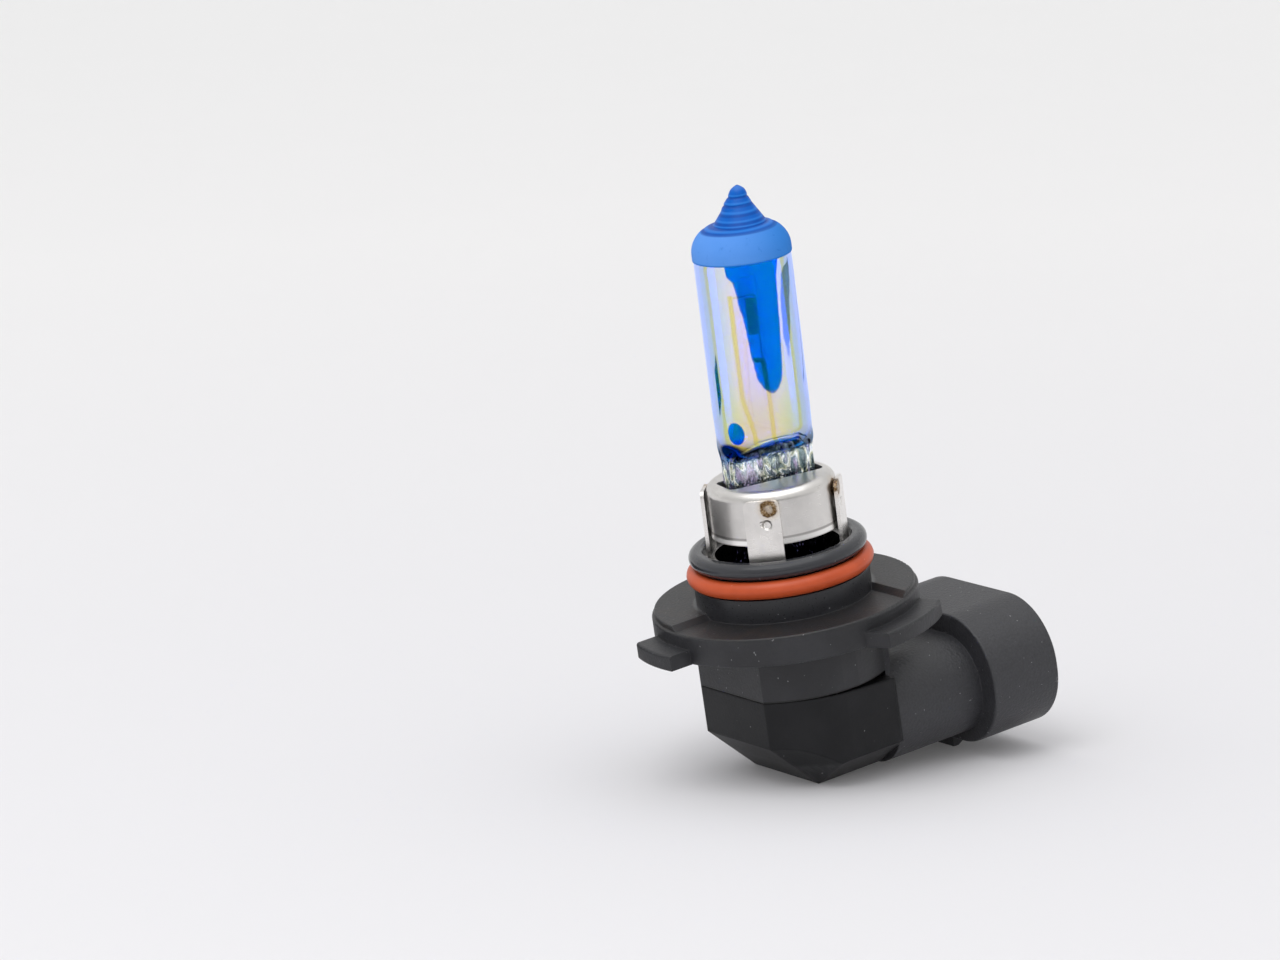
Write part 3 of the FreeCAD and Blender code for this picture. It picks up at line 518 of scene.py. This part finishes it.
def filter_glass():
    """Quartz whose outside has an interference coat: it passes blue and mirrors the warm rest.

    The coat covers the tube and runs out over the press, where the glass is rippled and nearly clear.
    """
    s = Shade("blue_glass")
    _, _, z = s.split()
    ragged = s.math("MULTIPLY_ADD", s.noise(500.0, 2.0), 1.2 * MM, z)
    coated = s.span(ragged, 16.9 * MM, 17.8 * MM)
    facing = s.node("ShaderNodeLayerWeight")
    facing.inputs["Blend"].default_value = 0.5
    edge = facing.outputs["Facing"]
    drift = s.noise(150.0, 2.0, 0.5, 0.4, s.stretched((1.0, 1.0, 0.3)))
    phase = s.math("ADD", edge, s.span(drift, 0.3, 0.7, -0.07, 0.12))
    mirror = s.ramp(
        phase,
        (0.00, (0.72, 0.50, 0.12)),
        (0.08, (0.75, 0.55, 0.07)),
        (0.20, (0.67, 0.53, 0.07)),
        (0.35, (0.56, 0.50, 0.10)),
        (0.60, (0.48, 0.42, 0.20)),
        (1.00, (0.50, 0.50, 0.46)),
    )
    rim = s.math("MULTIPLY", s.span(edge, 0.39, 0.47), 0.8)
    mirror = s.mix(rim, mirror, (0.46, 0.48, 0.68))
    passed = s.ramp(
        edge,
        (0.0, (0.0, 0.39, 0.93)),
        (0.5, (0.03, 0.42, 0.88)),
        (1.0, (0.32, 0.50, 0.80)),
    )
    passed = s.mix(s.span(z, 25.0 * MM, 20.5 * MM, 0.0, 0.6), passed, (0.05, 0.40, 0.68))
    ripple = s.noise(420.0, 2.0)
    wavy = s.bump(ripple, 0.1, 0.05 * MM)
    shard = s.stretched((1.0, 1.0, 0.38), (0.0, 0.25, PINCH_AZ))
    chips = s.cells(950.0, shard)
    fold = s.noise(2100.0, 2.0, 0.5, 1.2, shard)
    crumple = s.bump(s.math("ADD", chips, s.math("MULTIPLY", fold, 0.8)), 1.0, 0.55 * MM)
    blend = s.node("ShaderNodeMix", data_type="VECTOR")
    s.feed(blend.inputs["Factor"], coated)
    s.feed(blend.inputs[4], crumple)
    s.feed(blend.inputs[5], wavy)
    normal = blend.outputs[1]
    tint = s.ramp(
        s.noise(700.0, 1.0, 0.4, 1.4, shard),
        (0.32, (0.02, 0.04, 0.05)),
        (0.41, (0.20, 0.27, 0.25)),
        (0.455, (0.50, 0.50, 0.30)),
        (0.51, (0.90, 0.90, 0.90)),
        (0.56, (0.08, 0.16, 0.19)),
        (0.66, (0.42, 0.34, 0.52)),
    )
    # painted shade: under the cup's rim the glass turns dark, both what it mirrors and what it passes,
    # keeping a few purple glints
    painted_well_shade = s.span(z, 8.5 * MM, 7.8 * MM)
    glint = s.span(s.noise(1600.0, 2.0, 0.5, 0.6, shard), 0.56, 0.64)
    tint = s.mix(painted_well_shade, tint, s.mix(glint, (0.004, 0.004, 0.006), (0.30, 0.28, 0.62)))
    foot = s.span(z, 17.4 * MM, 19.8 * MM, 0.2, 1.0)
    mirror = s.mix(foot, (0.03, 0.04, 0.06), mirror)
    # painted reflection: a dark spot in the coat's mirror, where the blue light through the glass shows
    painted_dark_reflection = s.span(oval_distance(s, DARK_REFLECTION_SPOT, (1.0, 1.0, 0.85)), 1.15 * MM, 1.0 * MM)
    mirror = s.mix(painted_dark_reflection, mirror, (0.0, 0.01, 0.02))
    passed = s.mix(painted_dark_reflection, passed, (0.02, 0.42, 0.92))
    # painted shade: a navy place where both the mirror and the light through the glass are dimmed
    shade = s.span(oval_distance(s, NAVY_PATCH, (0.6, 0.6, 1.3)), 1.3 * MM, 0.8 * MM)
    mirror = s.mix(shade, mirror, (0.0, 0.005, 0.02))
    passed = s.mix(shade, passed, (0.0, 0.05, 0.42))
    mirror = s.mix(coated, tint, mirror)
    clear = s.ramp(
        s.noise(900.0, 2.0, 0.5, 0.8, shard),
        (0.40, (0.19, 0.25, 0.27)),
        (0.58, (0.84, 0.85, 0.88)),
    )
    clear = s.mix(painted_well_shade, clear, (0.02, 0.02, 0.03))
    passed = s.mix(coated, clear, passed)
    gloss = s.node("ShaderNodeBsdfGlossy")
    s.feed(gloss.inputs["Color"], mirror)
    gloss.inputs["Roughness"].default_value = 0.03
    s.feed(gloss.inputs["Normal"], normal)
    bend = s.node("ShaderNodeBsdfGlass")
    s.feed(bend.inputs["Color"], passed)
    bend.inputs["Roughness"].default_value = 0.0
    bend.inputs["IOR"].default_value = 1.46
    s.feed(bend.inputs["Normal"], normal)
    both = s.node("ShaderNodeAddShader")
    s.tree.links.new(gloss.outputs[0], both.inputs[0])
    s.tree.links.new(bend.outputs[0], both.inputs[1])
    return s.out(both.outputs[0])


def bore_glass():
    """The inside wall of the quartz: plain glass."""
    s = Shade("quartz_bore")
    ripple = s.noise(500.0, 2.0)
    glass = s.node("ShaderNodeBsdfGlass")
    glass.inputs["Color"].default_value = (0.97, 0.98, 1.0, 1.0)
    glass.inputs["Roughness"].default_value = 0.0
    glass.inputs["IOR"].default_value = 1.46
    s.feed(glass.inputs["Normal"], s.bump(ripple, 0.1, 0.05 * MM))
    return s.out(glass.outputs[0])


def tin():
    s = Shade("tinned_brass")
    cloud = s.noise(500.0, 4.0)
    colour = s.mix(cloud, (0.62, 0.60, 0.56), (0.48, 0.46, 0.42))
    rough = s.math("MULTIPLY_ADD", cloud, 0.25, 0.22)
    normal = s.bump(cloud, 0.1, 0.02 * MM)
    return s.out(s.principled(Base_Color=colour, Metallic=1.0, Roughness=rough, Normal=normal))


def compound():
    s = Shade("potting")
    cloud = s.noise(700.0, 4.0)
    colour = s.mix(cloud, (0.03, 0.03, 0.034), (0.06, 0.06, 0.065))
    return s.out(s.principled(Base_Color=colour, Roughness=0.35, Normal=s.bump(cloud, 0.5, 0.1 * MM)))


# ---- glass ---------------------------------------------------------------------------------------
GLASS_SIDES = 144


def superellipse_ring(a, b, power, z, count):
    """A ring at height z with half widths a and b, rounder or squarer by its power."""
    points = []
    for i in range(count):
        angle = 2 * math.pi * i / count
        c = math.cos(angle)
        s = math.sin(angle)
        x = a * math.copysign(abs(c) ** (2.0 / power), c)
        y = b * math.copysign(abs(s) ** (2.0 / power), s)
        points.append(Vector((x, y, z)))
    return points


def smooth_step(t):
    t = max(0.0, min(1.0, t))
    return t * t * (3 - 2 * t)


def press_section(z):
    """Half width, half thickness and squareness of the glass at height z, from the pinch to the tube."""
    flatten = 1 - smooth_step((z - PRESS_FLAT_Z) / (PRESS_TOP - 0.5 - PRESS_FLAT_Z))
    narrow = 1 - smooth_step((z - PRESS_NARROW_Z) / (PRESS_TOP - PRESS_NARROW_Z))
    half_w = GLASS_R + (PINCH_HALF_W - 0.05 - GLASS_R) * narrow
    half_t = GLASS_R + (PINCH_HALF_T - 0.05 - GLASS_R) * flatten
    return half_w, half_t, 2.0 + PRESS_SQUARENESS * flatten**1.5


def press_rings():
    """Sections from the foot of the pinch up to the round tube, with the press's own facets."""
    rings = []
    steps = 60
    for k in range(steps + 1):
        z = PINCH_Z0 + 0.25 + (PRESS_TOP - PINCH_Z0 - 0.25) * k / steps
        a, b, power = press_section(z)
        flatten = (power - 2.0) / PRESS_SQUARENESS
        ring = superellipse_ring(a, b, power, z, GLASS_SIDES)
        for p in ring:
            lumps = noise.noise(Vector((p.x * 0.55, math.copysign(4.0, p.y), z * 0.42))) * 0.22
            facets = noise.cell(Vector((p.x * 0.62 + 9, math.copysign(3.0, p.y), z * 0.5))) * 0.16
            depth = flatten * (lumps + facets - 0.12)
            p.y -= math.copysign(max(0.0, min(0.34, depth + 0.1)), p.y) * min(1.0, abs(p.y))
        rings.append(ring)
    return rings


def smooth_through(points, count):
    """Catmull-Rom curve through (r, z) points, with count steps between each two."""
    padded = [points[0]] + list(points) + [points[-1]]
    made = [points[0]]
    for a, b, c, d in zip(padded, padded[1:], padded[2:], padded[3:]):
        for i in range(1, count + 1):
            t = i / count
            made.append(tuple(
                0.5 * (
                    2 * q + (r - p) * t + (2 * p - 5 * q + 4 * r - s) * t**2
                    + (3 * q - p - 3 * r + s) * t**3
                )
                for p, q, r, s in zip(a, b, c, d)
            ))
    return made


def dome_profile(offset):
    """(r, z) points of the shoulder and exhaust tip, from the tube up to the axis."""
    points = [(radius + offset, height) for radius, height in SHOULDER + TIP_STEPS]
    points.append((0.1, TIP_Z + offset))
    return smooth_through(points, 7)


def bent_tip(point):
    """The exhaust tip is melted off by hand and stands a little to one side."""
    lift = smooth_step((point.z - TIP_BEND_Z) / (TIP_Z - TIP_BEND_Z))
    return point + Vector(TIP_BEND) * lift


def bore_rings():
    """Rings of the gas space: flattened at the foot like the press around it, then round."""
    radius = GLASS_R - GLASS_WALL
    rings = []
    for k in range(25):
        z = BORE_FOOT_Z + (PRESS_TOP - BORE_FOOT_Z) * k / 24
        a, b, power = press_section(z)
        pinch = smooth_step((z - BORE_FOOT_Z) / 1.6)
        half_w = max(0.1, (a - GLASS_WALL) * (0.55 + 0.45 * pinch))
        half_t = max(0.03, (b - GLASS_WALL) * (0.1 + 0.9 * pinch))
        rings.append(superellipse_ring(half_w, half_t, power, z, GLASS_SIDES))
    roof = 1.9
    s = math.sqrt(0.5)
    z = SHOULDER_Z - 0.2
    knee = (radius - roof + roof * s, z + roof * s)
    for r, height in arc_points((radius, z), knee, (radius - roof, z + roof), 12):
        rings.append(ring_at(r, height, GLASS_SIDES))
    rings.append(ring_at(0.05, z + roof, GLASS_SIDES))
    return rings


def make_glass():
    """The capsule: its outside from the pinch's foot to the tip, and the gas space as an inner skin."""
    bm = bmesh.new()
    rings = press_rings()
    foot = superellipse_ring(PINCH_HALF_W - 0.3, PINCH_HALF_T - 0.3, 4.0, PINCH_Z0, GLASS_SIDES)
    skin = 0.015
    for z in (22.0, 26.0, 30.0, 34.0, 37.0):
        rings.append(ring_at(GLASS_R, z, GLASS_SIDES))
    for r, z in dome_profile(-skin):
        rings.append([bent_tip(p) for p in ring_at(max(r, 0.1), z, GLASS_SIDES)])
    stack(bm, [foot] + rings, close_start=True, close_end=True)
    bore = stack(bm, bore_rings(), close_start=True, close_end=True)
    inner = {v for ring in bore for v in ring}
    inner_faces = [f for f in bm.faces if f.verts[0] in inner]
    bmesh.ops.reverse_faces(bm, faces=inner_faces)
    for f in inner_faces:
        f.material_index = 1
    bm.transform(AIM)
    obj = mesh_piece("glass_capsule", bm, 40.0)
    finish_piece(obj, filter_glass(), "blue_glass", "glass_envelope")
    obj.data.materials.append(bore_glass())
    return obj


def make_dome_coat():
    """The coat as a closed skin: outside with the tip's drawn rings, thin lower edge, inside."""
    bm = bmesh.new()
    outer = [
        (GLASS_R + 0.01, COAT_Z),
        (GLASS_R + COAT_T * 0.8, COAT_Z + 0.03),
        (GLASS_R + COAT_T, COAT_Z + 0.12),
    ]
    for r, z in dome_profile(COAT_T - 0.03):
        groove = 0.0
        for height, depth, width in DOME_RINGS:
            groove += depth * math.exp(-(((z - height) / width) ** 2))
        outer.append((max(0.1, r + 0.02 - groove), z))
    inner = [(max(0.05, r), z) for r, z in dome_profile(-0.005)]
    inner.append((GLASS_R + 0.004, COAT_Z))
    rings = []
    for r, z in outer + inner[::-1]:
        rings.append([bent_tip(p) for p in ring_at(r, z, GLASS_SIDES)])
    made = stack(bm, rings)
    for i in range(GLASS_SIDES):
        j = (i + 1) % GLASS_SIDES
        bm.faces.new((made[-1][i], made[-1][j], made[0][j], made[0][i]))
    bmesh.ops.recalc_face_normals(bm, faces=bm.faces)
    bm.transform(AIM)
    obj = mesh_piece("dome_coat", bm, 50.0)
    return finish_piece(obj, dome_paint(), "dome_blue", "dome_coating")


# ---- filament ------------------------------------------------------------------------------------
def make_filament():
    """A close coil between the two supports, with its legs."""
    turns = 16
    per_turn = 14
    radius = 0.58
    wire_r = 0.085
    z0 = 30.0
    z1 = 34.1
    off = 0.3
    support_x = -2.05
    points = [(off + radius, 0.0, 26.95), (off + radius, -0.05, z0 - 0.35)]
    for i in range(turns * per_turn + 1):
        angle = 2 * math.pi * i / per_turn
        z = z0 + (z1 - z0) * i / (turns * per_turn)
        points.append((off + radius * math.cos(angle), radius * math.sin(angle), z))
    points += [(off + radius - 0.1, 0.05, z1 + 0.28), (off, 0.0, z1 + 0.34), (support_x, 0.0, z1 + 0.3)]
    curve = bpy.data.curves.new("filament_coil", "CURVE")
    curve.dimensions = "3D"
    curve.bevel_depth = wire_r * MM
    curve.bevel_resolution = 2
    spline = curve.splines.new("POLY")
    spline.points.add(len(points) - 1)
    for target, p in zip(spline.points, points):
        target.co = (*(AIM @ Vector(p) * MM), 1.0)
    obj = link(bpy.data.objects.new("filament_coil", curve))
    return finish_piece(obj, tungsten(), "tungsten", "filament")


# ---- seal ----------------------------------------------------------------------------------------
def make_seal():
    """Moulded ring with a hair of flash on its parting line."""
    bm = bmesh.new()
    centre_r = 9.4
    centre_z = 3.75
    cord = 1.0
    around = 192
    section = 40
    rings = []
    for i in range(around):
        angle = 2 * math.pi * i / around
        wobble = 0.012 * math.sin(3 * angle + 0.6) + 0.008 * math.sin(7 * angle)
        ring = []
        for j in range(section):
            turn = 2 * math.pi * j / section
            flash = 0.022 if j == 0 else 0.0
            r = cord - 0.02 + flash + wobble * 0.4
            radius = centre_r + r * math.cos(turn)
            z = centre_z + r * math.sin(turn) + wobble
            ring.append(Vector((radius * math.cos(angle), radius * math.sin(angle), z)))
        rings.append(ring)
    made = stack(bm, rings)
    for j in range(section):
        k = (j + 1) % section
        bm.faces.new((made[-1][j], made[-1][k], made[0][k], made[0][j]))
    bmesh.ops.recalc_face_normals(bm, faces=bm.faces)
    obj = mesh_piece("seal_ring", bm, 60.0)
    return finish_piece(obj, seal_rubber(), "seal_rubber", "o_ring_seal")


# ---- stage ---------------------------------------------------------------------------------------
def paper():
    """Pale paper with painted shade, a little darker close to the bulb than far off, and a faint painted
    glow.
    """
    s = Shade("stage_paper")
    away = s.node("ShaderNodeVectorMath", operation="LENGTH")
    s.feed(away.inputs[0], s.place)
    tone = s.ramp(
        away.outputs["Value"],
        (0.00, (0.745, 0.74, 0.765)),
        (0.12, (0.765, 0.76, 0.78)),
        (0.40, (0.85, 0.845, 0.85)),
        (0.90, (0.88, 0.88, 0.88)),
    )
    tone = s.mix(s.math("MULTIPLY", s.noise(30.0), 0.03), tone, (0.6, 0.6, 0.62))
    # painted light: the paper glows faintly, lifting the shadows on it
    return s.out(s.principled(
        Base_Color=tone, Roughness=0.6, Specular_IOR_Level=0.0,
        Emission_Color=(1.0, 0.98, 0.97), Emission_Strength=0.05,
    ))


def floor_place(x, y, lift):
    """The point at (x, y) that is lift above the tilted floor, in mm."""
    z = FLOOR_POINT[2] - math.tan(FLOOR_TILT) * (x - FLOOR_POINT[0])
    return Vector((x, y, z + lift))


def make_floor():
    """A wide floor that rises into the backdrop far off, on every side."""
    bm = bmesh.new()
    rings = []
    rise = (
        (300.0, 0.0), (900.0, 0.0), (1300.0, 20.0), (1600.0, 140.0), (1800.0, 420.0), (1850.0, 900.0),
    )
    tilt = Matrix.Rotation(FLOOR_TILT, 3, "Y")
    for radius, height in rise:
        ring = ring_at(radius, height, 96)
        rings.append([tilt @ p + Vector(FLOOR_POINT) for p in ring])
    stack(bm, rings, close_start=True)
    bmesh.ops.recalc_face_normals(bm, faces=bm.faces)
    obj = mesh_piece("stage_floor", bm, 180.0)
    obj.data.materials.append(paper())
    return obj


def make_flag(name, corners, tone=(0.001, 0.001, 0.001)):
    """A card, black unless told otherwise, that only mirror-like surfaces see."""
    bm = bmesh.new()
    bm.faces.new([bm.verts.new(c) for c in corners])
    obj = mesh_piece(name, bm)
    s = Shade(name)
    matt = s.node("ShaderNodeBsdfDiffuse")
    s.feed(matt.inputs["Color"], s.mix(s.noise(20.0), tone, tuple(c * 1.1 for c in tone)))
    obj.data.materials.append(s.out(matt.outputs[0]))
    obj.visible_camera = False
    obj.visible_diffuse = False
    obj.visible_transmission = False
    obj.visible_shadow = False
    return obj


def make_softbox(name, corners, glow):
    """A glowing card overhead that only mirror-like surfaces see."""
    obj = make_flag(name, corners)
    s = Shade(name + "_glow")
    lamp = s.node("ShaderNodeEmission")
    s.feed(lamp.inputs["Color"], s.mix(s.noise(3.0), (1.0, 1.0, 1.0), (0.94, 0.94, 0.95)))
    lamp.inputs["Strength"].default_value = glow
    obj.data.materials[0] = s.out(lamp.outputs[0])
    return obj


def area_light(name, aim, azimuth, elevation, distance, size, power):
    """A soft light of a size in mm, looking at aim from a direction in degrees."""
    data = bpy.data.lights.new(name, "AREA")
    data.shape = "RECTANGLE"
    data.size = size[0] * MM
    data.size_y = size[1] * MM
    data.energy = power
    obj = link(bpy.data.objects.new(name, data))
    a = math.radians(azimuth)
    e = math.radians(elevation)
    away = Vector((math.sin(a) * math.cos(e), -math.cos(a) * math.cos(e), math.sin(e)))
    obj.location = (Vector(aim) + away * distance) * MM
    obj.rotation_mode = "QUATERNION"
    obj.rotation_quaternion = (-away).to_track_quat("-Z", "Y")
    return obj


def make_world(level, overhead):
    """Even white light, stronger from overhead."""
    world = bpy.data.worlds.new("studio")
    world.use_nodes = True
    tree = world.node_tree
    direction = tree.nodes.new("ShaderNodeTexCoord").outputs["Generated"]
    parts = tree.nodes.new("ShaderNodeSeparateXYZ")
    tree.links.new(direction, parts.inputs[0])
    rise = tree.nodes.new("ShaderNodeMapRange")
    rise.interpolation_type = "SMOOTHSTEP"
    tree.links.new(parts.outputs["Z"], rise.inputs["Value"])
    rise.inputs["From Min"].default_value = 0.3
    rise.inputs["From Max"].default_value = 0.9
    rise.inputs["To Min"].default_value = level
    rise.inputs["To Max"].default_value = overhead
    background = tree.nodes["Background"]
    background.inputs["Color"].default_value = (1.0, 1.0, 1.0, 1.0)
    tree.links.new(rise.outputs["Result"], background.inputs["Strength"])
    bpy.context.scene.world = world


def make_camera():
    data = bpy.data.cameras.new("camera")
    data.lens = LENS_MM
    data.sensor_width = 36.0
    data.clip_start = 0.01
    data.clip_end = 20.0
    obj = link(bpy.data.objects.new("camera", data))
    a = math.radians(VIEW_AZIMUTH)
    e = math.radians(VIEW_ELEVATION)
    back = Vector((math.sin(a) * math.cos(e), -math.cos(a) * math.cos(e), math.sin(e)))
    level = (-back).to_track_quat("-Z", "Y").to_matrix()
    roll = Matrix.Rotation(math.radians(VIEW_ROLL), 3, "Z")
    obj.rotation_mode = "QUATERNION"
    obj.rotation_quaternion = (level @ roll).to_quaternion()
    obj.location = (Vector(VIEW_AIM) + back * VIEW_DISTANCE) * MM
    bpy.context.scene.camera = obj
    return obj


# what the glass and metal mirror: patches just over the floor, by their (x, y) corners in mm
FRONT_PATCH = (
    (-68, -131), (277, -292), (700, -500), (300, -1000), (-600, -700), (-700, 0), (-300, -30),
    (-180, -38), (-165, -60), (-154, -76), (-125, -104), (-95, -115),
)
SIDE_PATCHES = (
    ("right", (0.22, 0.22, 0.23), (
        (205, -228), (282, -252), (412, -236), (560, -200), (700, 40),
        (527, 40), (430, -100), (330, -160), (245, -196),
    )),
    ("streak", (0.12, 0.12, 0.13), (
        (306, 54), (316, 54), (316, 160), (374, 252), (360, 262), (302, 170),
    )),
    ("sliver", (0.001, 0.001, 0.001), ((-105, 109), (-78, 130), (-65, 113), (-92, 92))),
)
# the second bulb, as the steel cup mirrors it, and the softbox that lights up the cup's shoulder
NEIGHBOUR_CARD = ((-4.0, 62.0, -22.0), (-62.0, 28.0, -22.0), (-62.0, 28.0, 2.0), (-4.0, 62.0, 2.0))
SOFTBOX = ((-450.0, -600.0, 600.0), (350.0, -600.0, 600.0), (350.0, 150.0, 600.0), (-450.0, 150.0, 600.0))
PATCH_LIFT = 1.0


# ---- build ---------------------------------------------------------------------------------------
bpy.context.scene.view_settings.view_transform = "Standard"
make_camera()
make_world(level=0.70, overhead=0.98)
make_floor()
make_flag("stage_flag_front", [floor_place(x, y, PATCH_LIFT) for x, y in FRONT_PATCH])
for name, tone, corners in SIDE_PATCHES:
    make_flag("stage_card_" + name, [floor_place(x, y, PATCH_LIFT) for x, y in corners], tone)
make_flag("stage_card_neighbour", NEIGHBOUR_CARD, (0.02, 0.02, 0.022))
make_softbox("stage_softbox", SOFTBOX, 1.9)
area_light(
    "key_top", aim=(0, 0, 0), azimuth=-60.0, elevation=70.0, distance=700.0, size=(420.0, 420.0), power=1.3
)

dress("base_body", plastic(
    "cap_plastic", (0.015, 0.0152, 0.0178), (0.023, 0.0233, 0.0272), cap_details,
    grain_scale=3900.0, grain=0.8, rough=0.46, dust=0.78, level=0.45, edge_round=0.16,
))
dress("rear_cover", plastic(
    "cover_plastic", (0.0075, 0.0078, 0.0092), (0.0115, 0.0118, 0.0135), cover_details,
    grain_scale=5200.0, grain=0.25, rough=0.46, dust=0.80, level=0.24, edge_round=0.5,
))
dress("pinch_cup", steel("cup_steel", (0.76, 0.74, 0.715), 0.25, 900.0, rolled=True))
dress("tab_ring", steel("ring_steel", (0.88, 0.855, 0.825), 0.24, 700.0))
dress("pinch_clip", steel("clip_steel", (0.58, 0.57, 0.55), 0.2, 700.0))
wire = molybdenum("molybdenum", (0.30, 0.29, 0.28))
for node in ("long_support_wire", "short_support_wire", "outer_lead_near", "outer_lead_far"):
    dress(node, wire)
foil = molybdenum("foil", (0.5, 0.5, 0.52))
for node in ("sealing_foil_near", "sealing_foil_far"):
    dress(node, foil)
blade = tin()
for node in ("terminal_near", "terminal_far"):
    dress(node, blade)
dress("terminal_potting", compound())
make_glass()
make_dome_coat()
make_filament()
make_seal()
